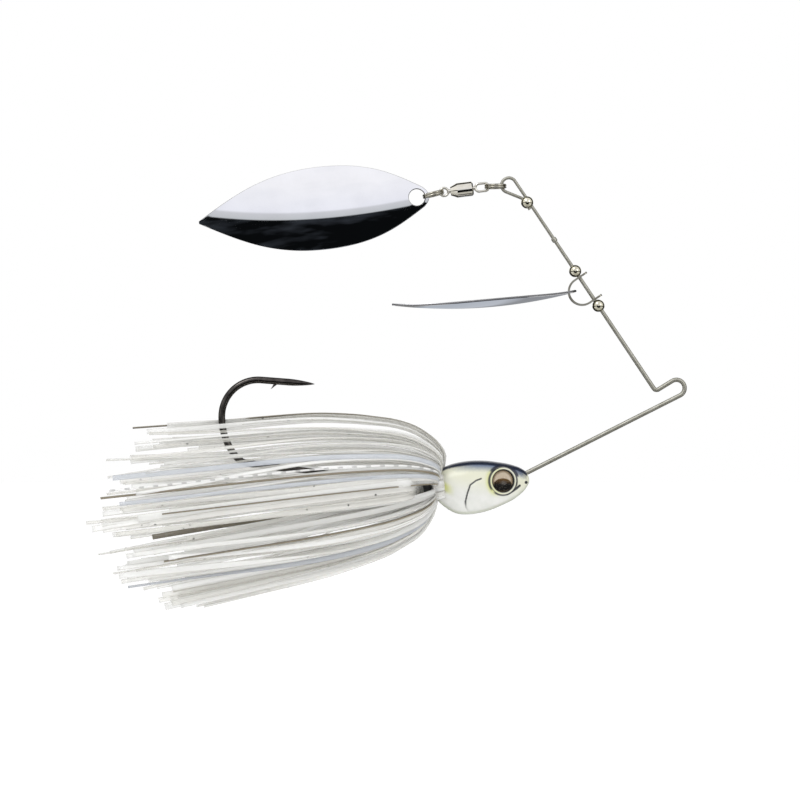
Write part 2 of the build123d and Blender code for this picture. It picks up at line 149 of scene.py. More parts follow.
class Nodes:
    """Short ways to add nodes to one material or world."""

    def __init__(self, owner, place="Object"):
        self.tree = owner.node_tree
        coordinates = self.tree.nodes.new("ShaderNodeTexCoord")
        self.place = coordinates.outputs[place]

    def add(self, kind, inputs, **settings):
        node = self.tree.nodes.new(kind)
        for key, value in settings.items():
            setattr(node, key, value)
        for key, value in inputs.items():
            if isinstance(value, bpy.types.NodeSocket):
                self.tree.links.new(value, node.inputs[key])
            else:
                node.inputs[key].default_value = value
        return node

    def noise(self, size_mm, detail=2.0, stretch=(1, 1, 1), roughness=0.5):
        """Noise with features of about size_mm."""
        mapping = self.add("ShaderNodeMapping", {"Vector": self.place, "Scale": stretch})
        return self.add("ShaderNodeTexNoise", {
            "Vector": mapping.outputs["Vector"],
            "Scale": 1000 / size_mm,
            "Detail": detail,
            "Roughness": roughness,
        }).outputs["Fac"]

    def parts(self, vector):
        """The x, y and z of a vector."""
        return self.add("ShaderNodeSeparateXYZ", {"Vector": vector}).outputs[:3]

    def value(self, name):
        return self.add("ShaderNodeAttribute", {}, attribute_name=name).outputs["Fac"]

    def math(self, operation, a, b, c=None):
        inputs = {0: a, 1: b}
        if c is not None:
            inputs[2] = c
        return self.add("ShaderNodeMath", inputs, operation=operation).outputs[0]

    def ramp(self, factor, *stops):
        """A colour ramp from (position, colour) stops."""
        node = self.add("ShaderNodeValToRGB", {"Fac": factor})
        elements = node.color_ramp.elements
        while len(elements) < len(stops):
            elements.new(0.5)
        for element, (position, colour) in zip(elements, stops):
            element.position = position
            element.color = (*colour, 1)
        return node.outputs["Color"]

    def grey(self, factor, *stops):
        return self.ramp(factor, *[(position, (v, v, v)) for position, v in stops])

    def mix(self, factor, a, b):
        node = self.tree.nodes.new("ShaderNodeMix")
        node.data_type = "RGBA"
        for key, value in ((0, factor), (6, a), (7, b)):
            if isinstance(value, bpy.types.NodeSocket):
                self.tree.links.new(value, node.inputs[key])
            elif key == 0:
                node.inputs[key].default_value = value
            else:
                node.inputs[key].default_value = (*value, 1)
        return node.outputs[2]

    def bump(self, height, strength, distance_mm):
        return self.add("ShaderNodeBump", {
            "Height": height, "Strength": strength, "Distance": distance_mm * MM,
        }).outputs["Normal"]

    def link(self, output, shader, socket):
        self.tree.links.new(output, shader.inputs[socket])


def metal(name, colour, dark, rough, wear_mm=1.2, bump_mm=0.01, grain=(1, 1, 1)):
    """Polished or drawn metal: handling marks in its colour and gloss, and fine grain in its surface."""
    material, shader = new_material(name, Metallic=1.0)
    n = Nodes(material)
    marks = n.noise(wear_mm, 4.0)
    n.link(n.ramp(marks, (0.3, dark), (0.7, colour)), shader, "Base Color")
    gloss = n.noise(wear_mm * 0.6, 3.0, grain)
    n.link(n.grey(gloss, (0.35, rough[0]), (0.75, rough[1])), shader, "Roughness")
    n.link(n.bump(n.noise(0.12, 2.0, grain), 0.25, bump_mm), shader, "Normal")
    return material


# ---------------------------------------------------------------- materials

wire_steel = metal("stainless_wire", (0.50, 0.49, 0.43), (0.40, 0.39, 0.33), (0.46, 0.56), 3.0, 0.002)
bead_chrome = metal("bead_nickel", (0.76, 0.73, 0.60), (0.60, 0.57, 0.45), (0.06, 0.12), 1.6, 0.001)
clevis_chrome = metal("clevis_nickel", (0.36, 0.35, 0.29), (0.22, 0.21, 0.17), (0.18, 0.30), 1.8, 0.003)
ring_steel = metal("ring_steel", (0.56, 0.54, 0.47), (0.36, 0.34, 0.28), (0.14, 0.26), 0.9, 0.004)
swivel_chrome = metal("swivel_nickel", (0.88, 0.85, 0.78), (0.72, 0.69, 0.60), (0.06, 0.14), 1.4, 0.002)
ball_steel = metal("ball_steel", (0.78, 0.78, 0.78), (0.65, 0.65, 0.65), (0.05, 0.1), 0.4, 0.002)
hook_nickel = metal("hook_black_nickel", (0.11, 0.10, 0.092), (0.035, 0.032, 0.030), (0.16, 0.28), 2.0, 0.006)


def blade_material():
    """Mirror-polished nickel, rougher along the cut rim, whose colour is also painted near black as a painted
    dark reflection.
    """
    material, shader = new_material("blade_nickel", Metallic=1.0)
    n = Nodes(material)
    face = n.ramp(n.noise(5.0, 4.0), (0.3, (0.88, 0.88, 0.90)), (0.7, (0.93, 0.93, 0.95)))
    # Painted dark reflection: the cut rim's colour is mixed to near black; the same mask also raises its
    # roughness.
    sheared = n.grey(n.value("sheared"), (0.1, 0.0), (0.5, 1.0))
    n.link(n.mix(sheared, face, (0.16, 0.16, 0.165)), shader, "Base Color")
    polish = n.grey(n.noise(3.0, 3.0), (0.35, 0.012), (0.75, 0.05))
    n.link(n.math("MULTIPLY_ADD", sheared, 0.4, polish), shader, "Roughness")
    n.link(n.bump(n.noise(0.12), 0.25, 0.0004), shader, "Normal")
    return material


blade_chrome = blade_material()


def rubber_material():
    material, shader = new_material("band_rubber")
    n = Nodes(material)
    black = n.ramp(n.noise(0.6, 3.0), (0.3, (0.008, 0.008, 0.009)), (0.8, (0.035, 0.035, 0.036)))
    n.link(black, shader, "Base Color")
    n.link(n.grey(n.noise(0.8), (0.3, 0.35), (0.7, 0.6)), shader, "Roughness")
    n.link(n.bump(n.noise(0.2), 0.4, 0.03), shader, "Normal")
    return material


def paint_material():
    """Glossy pearl paint over a dark blue back, airbrushed, with lines laid in the grooves, painted shade in
    the crease round each eye ring, and painted shade along the underside edge.
    """
    material, shader = new_material(
        "head_paint", Coat_Weight=0.45, Coat_Roughness=0.06, Specular_IOR_Level=0.45)
    n = Nodes(material)
    speckle = n.noise(0.35, 3.0)
    cloud = n.noise(1.8, 2.0)
    pearl = n.ramp(cloud, (0.3, (0.68, 0.69, 0.65)), (0.7, (0.75, 0.75, 0.72)))
    cream = n.mix(n.value("cream"), pearl, (0.69, 0.69, 0.55))
    sprayed = n.math("MULTIPLY", n.value("lime"), n.grey(cloud, (0.2, 0.7), (0.6, 1.0)))
    lime = n.mix(sprayed, cream, (0.60, 0.62, 0.18))
    soft = n.math("MULTIPLY_ADD", n.math("SUBTRACT", speckle, 0.5), 0.25, n.value("blue"))
    blue = n.mix(n.grey(soft, (0.1, 0.0), (0.9, 1.0)), lime, (0.15, 0.19, 0.28))
    edge = n.math("MULTIPLY_ADD", n.math("SUBTRACT", speckle, 0.5), 0.25, n.value("back"))
    navy = n.mix(n.grey(edge, (0.3, 0.0), (0.7, 1.0)), blue, (0.012, 0.018, 0.040))
    # Painted shade: a darker greenish grey over the lowest millimetre of the head's side, along its underside
    # edge.
    underside_painted_shade = n.mix(n.value("underside_painted_shade"), navy, (0.55, 0.57, 0.47))
    lined = n.mix(n.value("line"), underside_painted_shade, (0.03, 0.032, 0.036))
    n.link(lined, shader, "Base Color")
    n.link(n.grey(speckle, (0.3, 0.28), (0.7, 0.40)), shader, "Roughness")
    n.link(n.bump(n.noise(0.5, 3.0), 0.12, 0.02), shader, "Normal")
    return material


def foil_material(name, centre):
    """A printed eye: pale tan above, a painted reflection over the iris, a wide dark pupil low down that is
    brown along its top and holds a painted grey highlight, and a dark rim.
    """
    material, shader = new_material(name, Specular_IOR_Level=0.1)
    n = Nodes(material)
    out = n.add("ShaderNodeVectorMath", {0: n.place, 1: tuple(centre)}, operation="SUBTRACT").outputs[0]
    per_radius = 1 / (EYE_RADIUS_MM * MM)
    out = n.add("ShaderNodeVectorMath", {0: out, "Scale": per_radius}, operation="SCALE").outputs[0]
    grain = n.math("MULTIPLY", n.math("SUBTRACT", n.noise(0.4, 3.0), 0.5), 0.08)
    span = n.math("ADD", n.add("ShaderNodeVectorMath", {0: out}, operation="LENGTH").outputs["Value"], grain)
    height = n.parts(out)[2]
    low = n.add("ShaderNodeVectorMath", {0: out, 1: (0, 0, -0.34)}, operation="SUBTRACT").outputs[0]
    low = n.add("ShaderNodeVectorMath", {0: low, 1: (1.12, 1.12, 1.65)}, operation="MULTIPLY").outputs[0]
    pupil = n.math("ADD", n.add("ShaderNodeVectorMath", {0: low}, operation="LENGTH").outputs["Value"], grain)
    # Painted reflection: the pale tan upper part of the eye, going brown towards the iris's edge, stands in
    # for light reflected in the lens.
    painted_reflection_over_iris = n.ramp(span, (0.0, (0.52, 0.42, 0.31)), (0.70, (0.62, 0.52, 0.40)), (0.86, (0.28, 0.21, 0.13)))
    dark = n.ramp(n.math("MULTIPLY_ADD", height, 0.5, 0.5), (0.34, (0.006, 0.006, 0.006)),
                  (0.54, (0.10, 0.055, 0.02)), (0.64, (0.20, 0.12, 0.05)))
    # Painted highlight: a soft grey patch in the pupil, a little below the eye's centre.
    painted_highlight = n.add("ShaderNodeVectorMath", {0: out, 1: (0.08, 0, -0.18)}, operation="SUBTRACT").outputs[0]
    painted_highlight = n.add("ShaderNodeVectorMath", {0: painted_highlight, 1: (2.6, 2.6, 3.8)}, operation="MULTIPLY").outputs[0]
    painted_highlight = n.add("ShaderNodeVectorMath", {0: painted_highlight}, operation="LENGTH").outputs["Value"]
    dark = n.mix(n.grey(painted_highlight, (0.0, 0.7), (1.0, 0.0)), dark, (0.16, 0.15, 0.14))
    iris = n.mix(n.grey(pupil, (0.90, 0.0), (1.0, 1.0)), dark, painted_reflection_over_iris)
    n.link(n.mix(n.grey(span, (0.90, 0.0), (0.97, 1.0)), iris, (0.02, 0.018, 0.015)), shader, "Base Color")
    n.link(n.grey(n.noise(0.3), (0.3, 0.45), (0.7, 0.6)), shader, "Roughness")
    return material


def lens_material():
    """Clear resin: a faint gloss over the foil."""
    material, shader = new_material("eye_lens", Alpha=0.05, Specular_IOR_Level=0.6)
    n = Nodes(material)
    n.link(n.ramp(n.noise(1.0), (0.3, (0.05, 0.04, 0.03)), (0.7, (0.09, 0.08, 0.06))), shader, "Base Color")
    n.link(n.grey(n.noise(0.6), (0.3, 0.02), (0.8, 0.08)), shader, "Roughness")
    return material


DASHES_PER_MM = 0.32


def silicone(name, light, shade, edge, alpha, flakes=0.0):
    """Silicone ribbon: tone by strand, painted shade along the cut edges, cloudy pigment, and black or silver
    flake.
    """
    material, shader = new_material(name, Alpha=alpha, Specular_IOR_Level=0.45)
    n = Nodes(material)
    tone = n.math("MULTIPLY_ADD", n.math("SUBTRACT", n.noise(3.0, 3.0), 0.5), 0.5, n.value("tone"))
    face = n.ramp(tone, (0.1, shade), (0.9, light))
    # Painted shade: each strand's side edges are mixed towards the darker edge colour, standing in for the
    # darkening that refraction gives there.
    colour = n.mix(n.math("MULTIPLY", n.value("rim"), 0.85), face, edge)
    if flakes:
        cells = n.add("ShaderNodeTexVoronoi", {"Vector": n.place, "Scale": 1000 / 1.5})
        pick = n.add("ShaderNodeSeparateColor", {"Color": cells.outputs["Color"]}).outputs[0]
        chosen = n.math("GREATER_THAN", pick, 1 - flakes)
        near = n.math("LESS_THAN", cells.outputs["Distance"], 0.2)
        colour = n.mix(n.math("MULTIPLY", chosen, near), colour, (0.03, 0.03, 0.03))
    stitches = n.math("MULTIPLY", n.value("along"), DASHES_PER_MM)
    dash = n.grey(n.math("FRACT", stitches, 0.0), (0.30, 0.30), (0.40, 0.98))
    colour = n.mix(n.value("silver"), colour, dash)
    n.link(colour, shader, "Base Color")
    n.link(n.grey(n.noise(1.4, 3.0), (0.3, 0.14), (0.7, 0.30)), shader, "Roughness")
    n.link(n.bump(n.noise(0.8, 3.0), 0.15, 0.04), shader, "Normal")
    return material


# ---------------------------------------------------------------- carried-over CAD nodes

EYE_RADIUS_MM = 2.5


def box_centre(node):
    low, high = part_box(node)
    return (low + high) / 2


eye_turn = math.radians(15)
finishes = {
    "wire_frame": (wire_steel, "stainless_wire"),
    "loop_lock_bead": (bead_chrome, "bead_nickel"),
    "lower_bearing_bead": (bead_chrome, "bead_nickel"),
    "upper_bearing_bead": (bead_chrome, "bead_nickel"),
    "clevis": (clevis_chrome, "clevis_nickel"),
    "front_split_ring": (ring_steel, "ring_steel"),
    "rear_split_ring": (ring_steel, "ring_steel"),
    "swivel_shaft": (swivel_chrome, "swivel_nickel"),
    "swivel_barrel": (swivel_chrome, "swivel_nickel"),
    "swivel_rear_eye": (swivel_chrome, "swivel_nickel"),
    "swivel_balls": (ball_steel, "ball_steel"),
    "hook": (hook_nickel, "hook_black_nickel"),
    "skirt_band": (rubber_material(), "band_rubber"),
}
lens = lens_material()
for side in ("left", "right"):
    foil = f"eye_foil_{side}"
    finishes[foil] = (foil_material(foil, box_centre(foil)), "eye_foil")
    finishes[f"eye_lens_{side}"] = (lens, "eye_lens")
for node, (material, slot) in finishes.items():
    mesh = nodes[node].data
    mesh.materials.clear()
    mesh.materials.append(material)


# ---------------------------------------------------------------- blades

BLADE_LENGTH_MM = 52.4
BLADE_HALF_WIDTH_MM = 9.3
BLADE_SHEET_MM = 0.5
BLADE_CUP_LONG_MM = 2.5
BLADE_CUP_CROSS_MM = 1.5


def blade_mesh(scale, hole_dia, hole_rim):
    """Vertices and faces of a cupped willow leaf, in millimetres: hole at the origin, tip towards +x, width
    along y and hollow side towards +z. Also the edges that stay sharp."""
    length, half = BLADE_LENGTH_MM * scale, BLADE_HALF_WIDTH_MM * scale
    sheet, inset, step = BLADE_SHEET_MM, 0.16, 0.55
    hole_at = hole_rim + hole_dia / 2
    xs = length * np.array([0, 0.18, 0.43, 0.75, 1])
    ys = half * np.array([0.16, 0.72, 1, 0.73, 0.03])
    along = length * (1 - np.cos(np.linspace(0, np.pi, 150))) / 2
    across = natural_spline(xs, ys, along)
    across *= 0.3 + 0.7 * np.sqrt(1 - np.clip(1 - along / 1.4, 0, 1) ** 2)
    outline = np.vstack([np.column_stack([along, across]), np.column_stack([along, -across])[::-1]])
    tangent = np.roll(outline, -1, 0) - np.roll(outline, 1, 0)
    inward = unit_rows(np.column_stack([tangent[:, 1], -tangent[:, 0]]))
    turns = np.linspace(0, 2 * np.pi, 72, endpoint=False)
    rim = np.column_stack([np.cos(turns), np.sin(turns)])
    middle = np.array([hole_at, 0])
    rings = [outline + inward * inset, middle + rim * (hole_dia / 2 + inset)]
    true_rings = [outline, middle + rim * hole_dia / 2]
    gx, gy = np.meshgrid(np.arange(0, length, step), np.arange(-half, half, step))
    grid = np.column_stack([gx.ravel() + (gy.ravel() / step % 2) * step / 2, gy.ravel()])
    room = np.interp(grid[:, 0], along, across) - np.abs(grid[:, 1])
    from_hole = np.linalg.norm(grid - middle, axis=1) - hole_dia / 2
    grid = grid[(room > 0.45) & (from_hole > 0.45) & (grid[:, 0] < length - 0.6) & (grid[:, 0] > 0.35)]
    flat = np.vstack([*rings, grid])
    edges, start = [], 0
    for ring in rings:
        count = len(ring)
        edges += [(start + i, start + (i + 1) % count) for i in range(count)]
        start += count
    made = delaunay_2d_cdt([Vector(p) for p in flat.tolist()], edges, [], 0, 1e-6)
    flat = np.array([tuple(p) for p in made[0]])
    triangles = np.array([tuple(f) for f in made[2]])
    centres = flat[triangles].mean(axis=1)
    inside = np.abs(centres[:, 1]) < np.interp(centres[:, 0], along, across) - inset * 0.6
    inside &= np.linalg.norm(centres - middle, axis=1) > hole_dia / 2 + inset * 0.9
    inside &= (centres[:, 0] > 0) & (centres[:, 0] < length)
    triangles = triangles[inside]
    long_radius = (length / 2) ** 2 / (2 * BLADE_CUP_LONG_MM * scale)
    cross_radius = half**2 / (2 * BLADE_CUP_CROSS_MM * scale)

    def cup(points):
        """The sheet's middle surface and its normal over flat points."""
        x, y = points[:, 0] - length / 2, points[:, 1]
        sag = cross_radius - np.sqrt(cross_radius**2 - y**2)
        turn = x / long_radius
        r = long_radius - sag
        place = np.column_stack([r * np.sin(turn), y, long_radius - r * np.cos(turn)])
        steep = y / cross_radius
        flatness = np.sqrt(1 - steep**2)
        normal = np.column_stack([-np.sin(turn) * flatness, -steep, np.cos(turn) * flatness])
        return place, normal

    place, normal = cup(flat)
    count = len(flat)
    verts = [place + normal * sheet / 2, place - normal * sheet / 2]
    faces = [tuple(t) for t in triangles.tolist()]
    faces += [tuple(count + i for i in t[::-1]) for t in triangles.tolist()]
    sharp, start, base = [], 0, 2 * count
    for ring, true in zip(rings, true_rings):
        near = [int(np.argmin(np.linalg.norm(flat - p, axis=1))) for p in ring]
        verts.append(cup(true)[0])
        n = len(ring)
        for i in range(n):
            j = (i + 1) % n
            faces.append((near[i], near[j], base + j, base + i))
            faces.append((base + i, base + j, count + near[j], count + near[i]))
            sharp += [(near[i], near[j]), (count + near[i], count + near[j])]
        base += n
    verts = np.vstack(verts) + [length / 2, 0, 0]
    # The side strip round the outline and the hole is the cut rim, whose colour the material paints near
    # black as a painted dark reflection.
    sheared = np.arange(len(verts)) >= 2 * count
    seat = (length / 2 - hole_at) ** 2 / (2 * long_radius)
    return verts - [hole_at, 0, seat], faces, sharp, sheared


def add_blade(name, scale, hole_dia, hole_rim, origin, x_dir, z_dir, body):
    verts, faces, sharp, sheared = blade_mesh(scale, hole_dia, hole_rim)
    x_axis, z_axis = np.array(x_dir), np.array(z_dir)
    y_axis = np.cross(z_axis, x_axis)
    verts = np.array(origin) / MM + verts @ np.vstack([x_axis, y_axis, z_axis])
    obj = add_mesh(name + "_leaf", verts, faces, blade_chrome, body, [name])
    add_values(obj, sheared=sheared)
    wanted = {tuple(sorted(e)) for e in sharp}
    flags = [tuple(sorted(e.vertices)) in wanted for e in obj.data.edges]
    layer = obj.data.attributes.new("sharp_edge", "BOOLEAN", "EDGE")
    layer.data.foreach_set("value", flags)


def hanging(droop):
    """The direction of a blade that points backwards and this many degrees down."""
    return Vector((-math.cos(math.radians(droop)), 0, -math.sin(math.radians(droop))))


toward_far = Vector((0, 1, 0))
rear_along, front_along = hanging(6.6), hanging(4.2)
rear_hole = Vector(joints["rear_blade_pitch"]["pos_m"]) + rear_along * (3.7 / 2 - 0.4) * MM
front_hole = joints["front_blade_swing"]["pos_m"]
add_blade("rear_blade", 1.0, 3.7, 0.9, rear_hole, rear_along, toward_far, "rear_blade")
add_blade("front_blade", 0.8, 2.4, 0.7, front_hole, front_along, toward_far.cross(front_along), "front_blade")


# ---------------------------------------------------------------- head

eye_side = {"left": 1, "right": -1}
eye_mm = {side: np.array(box_centre(f"eye_lens_{side}")) / MM for side in eye_side}
head_zero = eye_mm["left"] * [1, 0, 1]

# Outline of the head in side view, from its tail to its nose, in millimetres from the eye:
# (x, top, bottom, half width).
HEAD = np.array([
    (-15.0, 1.4, -4.0, 2.5), (-14.0, 2.4, -5.1, 3.3), (-12.5, 3.3, -6.3, 4.0), (-10.2, 4.0, -7.45, 4.6),
    (-7.6, 4.4, -7.65, 4.9), (-5.1, 4.5, -7.3, 4.95), (-3.0, 4.4, -6.75, 4.85), (-0.7, 4.1, -5.85, 4.5),
    (0.6, 3.9, -5.25, 4.2), (2.7, 3.35, -4.15, 3.3), (3.8, 2.95, -3.3, 2.65), (4.9, 2.3, -2.3, 1.85),
    (5.6, 1.6, -1.3, 1.2), (6.0, 0.5, -0.5, 0.4),
])
GILL = np.array([
    (-4.9, 0.5), (-6.0, 0.1), (-7.35, -0.9), (-8.0, -2.8), (-8.4, -4.6), (-8.3, -5.9), (-7.8, -6.9),
])
MOUTH = np.array([(3.8, -1.1), (3.1, -1.7), (2.2, -2.3), (0.9, -3.0)])
NOSTRIL = np.array([5.3, -0.4])


def line_distance(points, line):
    """Each point's distance from a polyline."""
    best = np.full(len(points), 1e9)
    for a, b in zip(line[:-1], line[1:]):
        t = np.clip((points - a) @ (b - a) / ((b - a) @ (b - a)), 0, 1)
        best = np.minimum(best, np.linalg.norm(points - a - t[:, None] * (b - a), axis=1))
    return best


def head_body():
    """The lofted head with its grooves, as vertices, faces and paint masks."""
    rows, columns = 230, 260
    s = np.linspace(0, 1, rows)
    s = 0.5 * s + 0.5 * np.sin(s * np.pi / 2)
    knots = np.concatenate([[0], np.cumsum(np.linalg.norm(np.diff(HEAD, axis=0), axis=1))])
    x, top, bottom, half = (natural_spline(knots, HEAD[:, k], s * knots[-1]) for k in range(4))
    angle = np.linspace(0, 2 * np.pi, columns, endpoint=False)
    power = 2 / 2.25
    c = np.sign(np.cos(angle)) * np.abs(np.cos(angle)) ** power
    d = np.sign(np.sin(angle)) * np.abs(np.sin(angle)) ** power
    middle, tall = (top + bottom) / 2, (top - bottom) / 2
    px = np.repeat(x, columns)
    py = (half[:, None] * d).ravel()
    pz = (middle[:, None] + tall[:, None] * c).ravel()
    flat = np.column_stack([px, pz])
    gill, mouth = line_distance(flat, GILL), line_distance(flat, MOUTH)
    nostril = np.linalg.norm(flat - NOSTRIL, axis=1)
    eye = np.hypot(px, pz)
    groove = (0.22 * np.exp(-(gill / 0.2) ** 2) + 0.2 * np.exp(-(mouth / 0.2) ** 2)
              + 1.6 * smooth_step(2.9, 2.5, eye))
    py -= np.sign(py) * np.minimum(groove, np.abs(py))
    drop = np.repeat(top, columns) - pz
    rise = pz - np.repeat(bottom, columns)
    tail = smooth_step(-9.0, -14.5, px)
    over_eye = smooth_step(4.2, 3.3, eye) * smooth_step(-0.6, 1.0, pz)
    masks = {
        "back": smooth_step(5.9, 5.2, px) * np.maximum.reduce([
            smooth_step(1.45, 0.4, drop + 0.3 * tail),
            over_eye * smooth_step(2.9, 1.6, drop),
            0.5 * smooth_step(3.2, 1.0, drop) * smooth_step(2.2, 3.4, px),
        ]),
        "blue": smooth_step(3.1, 0.6, drop) * smooth_step(-14.0, -5.0, px) * smooth_step(5.6, 4.0, px),
        "cream": smooth_step(-4.8, 0.5, pz + 0.15 * px),
        "lime": np.maximum(
            smooth_step(1.6, 0.2, np.abs(pz + 1.6 + 0.5 * (px + 12.5))) * smooth_step(-10.5, -13.0, px),
            0.8 * smooth_step(4.4, 3.2, eye) * smooth_step(1.8, -1.2, px - 0.6 * pz)),
        # Painted shade: darker greenish grey where the side turns under, along the underside edge.
        "underside_painted_shade": 0.9 * smooth_step(1.0, 0.35, rise),
        "line": np.maximum.reduce([
            0.95 * smooth_step(0.24, 0.12, gill) * smooth_step(-7.0, -4.5, pz),
            smooth_step(0.34, 0.2, mouth),
            smooth_step(0.42, 0.3, nostril),
            # Painted shade: a dark ring in the crease round each eye ring, left off along a diagonal band
            # through the eye.
            0.95 * smooth_step(3.5, 3.25, eye) * smooth_step(-1.6, -0.4, np.abs(pz - px) - 1.6),
        ]),
    }
    verts = np.column_stack([px, py, pz])
    faces = tube_faces(rows, columns)
    faces.append(tuple(range(columns))[::-1])
    faces.append(tuple((rows - 1) * columns + i for i in range(columns)))
    return verts, faces, masks


# Half section of the raised ring round an eye: (radius, height above the eye's face, cream, line) in mm. The
# line column is painted shade on the outer wall, in the crease where the ring meets the head, and it also
# darkens the inner wall down into the eye's pocket.
EYE_RING = np.array([
    (3.16, -2.4, 0, 0.9), (3.16, -1.2, 0, 1), (3.14, -0.4, 0, 1), (3.06, -0.08, 0.4, 0.8),
    (2.96, 0.08, 0.9, 0.1), (2.82, 0.16, 1, 0), (2.72, 0.14, 1, 0.1), (2.62, 0.03, 0.5, 0.7),
    (2.56, -0.12, 0, 1), (2.54, -0.62, 0, 1),
])


def eye_ring(side):
    """The raised ring round one eye, turned about the eye's axis."""
    count = 96
    sign = eye_side[side]
    out = np.array([math.sin(eye_turn), sign * math.cos(eye_turn), 0])
    up = np.array([0, 0, 1.0])
    forward = np.cross(up, out) * -sign
    pocket = np.array(box_centre(f"eye_foil_{side}")) / MM + out * 0.53 - head_zero
    turns = np.linspace(0, 2 * np.pi, count, endpoint=False)
    verts, cream, line = [], [], []
    for radius, height, pale, dark in EYE_RING:
        for turn in turns:
            verts.append(pocket + out * height + radius * (forward * math.cos(turn) + up * math.sin(turn)))
            cream.append(pale)
            line.append(dark)
    faces = tube_faces(len(EYE_RING), count)
    if sign > 0:
        faces = [f[::-1] for f in faces]
    return np.array(verts), faces, np.array(cream), np.array(line)


def add_head():
    verts, faces, masks = head_body()
    for side in eye_side:
        ring, ring_faces, cream, line = eye_ring(side)
        faces += [tuple(i + len(verts) for i in f) for f in ring_faces]
        verts = np.vstack([verts, ring])
        up = ring[:, 2]
        extra = {"cream": cream, "line": line, "lime": 0.45 * cream * smooth_step(0.5, -1.5, ring[:, 0]),
                 "back": smooth_step(1.5, 2.6, up) * (cream < 0.5), "blue": 0 * cream, "underside_painted_shade": 0 * cream}
        masks = {k: np.concatenate([masks[k], extra[k]]) for k in masks}
    head = add_mesh(
        "head_cast", verts + head_zero, faces, paint_material(), "frame", ["head_casting"])
    add_values(head, **masks)


add_head()


# ---------------------------------------------------------------- skirt collar and skirt

band_centre = np.array(box_centre("skirt_band")) / MM
skirt_droop = math.radians(7)
back_dir = np.array([-math.cos(skirt_droop), 0, -math.sin(skirt_droop)])
up_dir = np.array([-math.sin(skirt_droop), 0, math.cos(skirt_droop)])
far_dir = np.array([0, 1.0, 0])
skirt_zero = band_centre - back_dir * 1.8

# Silhouette of the skirt over and under its axis: (distance back along the axis, radius), in millimetres.
BELL_TOP = np.array([
    (1.4, 2.5), (0.2, 2.6), (-1.6, 3.3), (-2.3, 5.0), (-2.7, 7.1), (-1.1, 10.1), (2.6, 13.5),
    (7.0, 15.6), (11.8, 16.9), (17.1, 18.1), (25.2, 19.3), (36.2, 19.9), (50.0, 20.3), (64.0, 21.0),
])
BELL_LOW = np.array([
    (1.4, 2.5), (0.6, 2.6), (0.5, 3.2), (1.5, 6.4), (3.4, 9.4), (5.6, 11.4), (8.5, 12.8),
    (13.0, 14.6), (19.9, 16.1), (26.9, 17.1), (32.5, 17.7), (40.9, 18.5), (52.0, 19.5), (63.8, 20.5),
])


def on_skirt(u, r, azimuth):
    """Points in millimetres from skirt coordinates. Azimuth 0 is up, and 270 degrees is the near side."""
    azimuth = np.radians(azimuth)
    return (skirt_zero + np.outer(u, back_dir) + (r * np.cos(azimuth))[:, None] * up_dir
            + (r * np.sin(azimuth))[:, None] * far_dir)


def bell_path(azimuth, shrink, reach, sway, curl, behind_band):
    """One strand's centreline: out round the bell and back to its tip, from before or behind the band."""
    share = (1 + math.cos(math.radians(azimuth))) / 2
    bell = BELL_TOP * share + BELL_LOW * (1 - share)
    u, r = bell[:, 0].copy(), bell[:, 1].copy()
    out = smooth_step(3.0, 12.0, r)
    r *= 1 - (1 - shrink) * out
    u = np.where(r > 4, u + (1 - shrink) * 9.0 * smooth_step(3.0, 9.0, r), u)
    if behind_band:
        out_of_band = u > 4.4
        u = np.concatenate([[2.0, 3.4], u[out_of_band]])
        r = np.concatenate([[2.3, 2.9], r[out_of_band]])
    far = u > 20
    u[far] = 20 + (u[far] - 20) * (reach - 20) / (u[-1] - 20)
    t = np.clip(u / reach, 0, 1)
    az = azimuth + sway * t**1.5 + curl * np.sin(t * 5.0)
    return on_skirt(u, r, az), az


def curl_path(azimuth, size):
    """A short hairpin standing out in front of the band."""
    u = np.array([1.8, 0.6, -0.9, -1.9, -1.6, -0.5, 0.4])
    r = 2.5 + size * np.array([0.0, 0.1, 0.5, 1.7, 3.0, 3.4, 2.9])
    return on_skirt(u, r, np.full(7, azimuth)), np.full(7, azimuth)


def inner_path(azimuth, spread, reach, sway):
    """One strand's centreline: straight back from under the band, inside the bell."""
    u = np.array([2.0, 4.0, 10.0, 22.0, 40.0, reach])
    r = np.array([2.4, 2.6, 3.0 + 0.12 * spread, 0.45 * spread, 0.78 * spread, spread])
    az = azimuth + sway * (u / reach) ** 1.5
    return on_skirt(u, r, az), az


def ribbon(points, azimuths, width, thickness, twist_start, twist_rate, count=56):
    """A ribbon along a path: vertices, faces, and where across and along it each vertex is."""
    packed, along = smooth_path(np.column_stack([points, azimuths]), count)
    line, az = packed[:, :3], np.radians(packed[:, 3])
    tangent = unit_rows(np.gradient(line, axis=0))
    across = np.cos(az)[:, None] * far_dir - np.sin(az)[:, None] * up_dir
    across = unit_rows(across - (across * tangent).sum(1)[:, None] * tangent)
    normal = np.cross(across, tangent)
    turn = twist_start + twist_rate * smooth_step(6.0, 70.0, along)
    turn = turn[:, None]
    across, normal = (across * np.cos(turn) + normal * np.sin(turn),
                      normal * np.cos(turn) - across * np.sin(turn))
    w, t = width / 2, thickness / 2
    section = [(-w, -0.4 * t, 1), (-w, 0.4 * t, 1), (-0.8 * w, t, 0), (0, 1.12 * t, 0), (0.8 * w, t, 0),
               (w, 0.4 * t, 1), (w, -0.4 * t, 1), (0.8 * w, -t, 0), (0, -1.12 * t, 0), (-0.8 * w, -t, 0)]
    n = len(section)
    verts = np.stack([line + across * a + normal * b for a, b, _ in section], axis=1).reshape(-1, 3)
    faces = tube_faces(count, n) + [tuple(range(n))[::-1], tuple((count - 1) * n + i for i in range(n))]
    # rim marks each strand's side edges, which the material paints darker as painted shade.
    rim = np.tile([e for _, _, e in section], count)
    return verts, faces, rim, np.repeat(along, n)


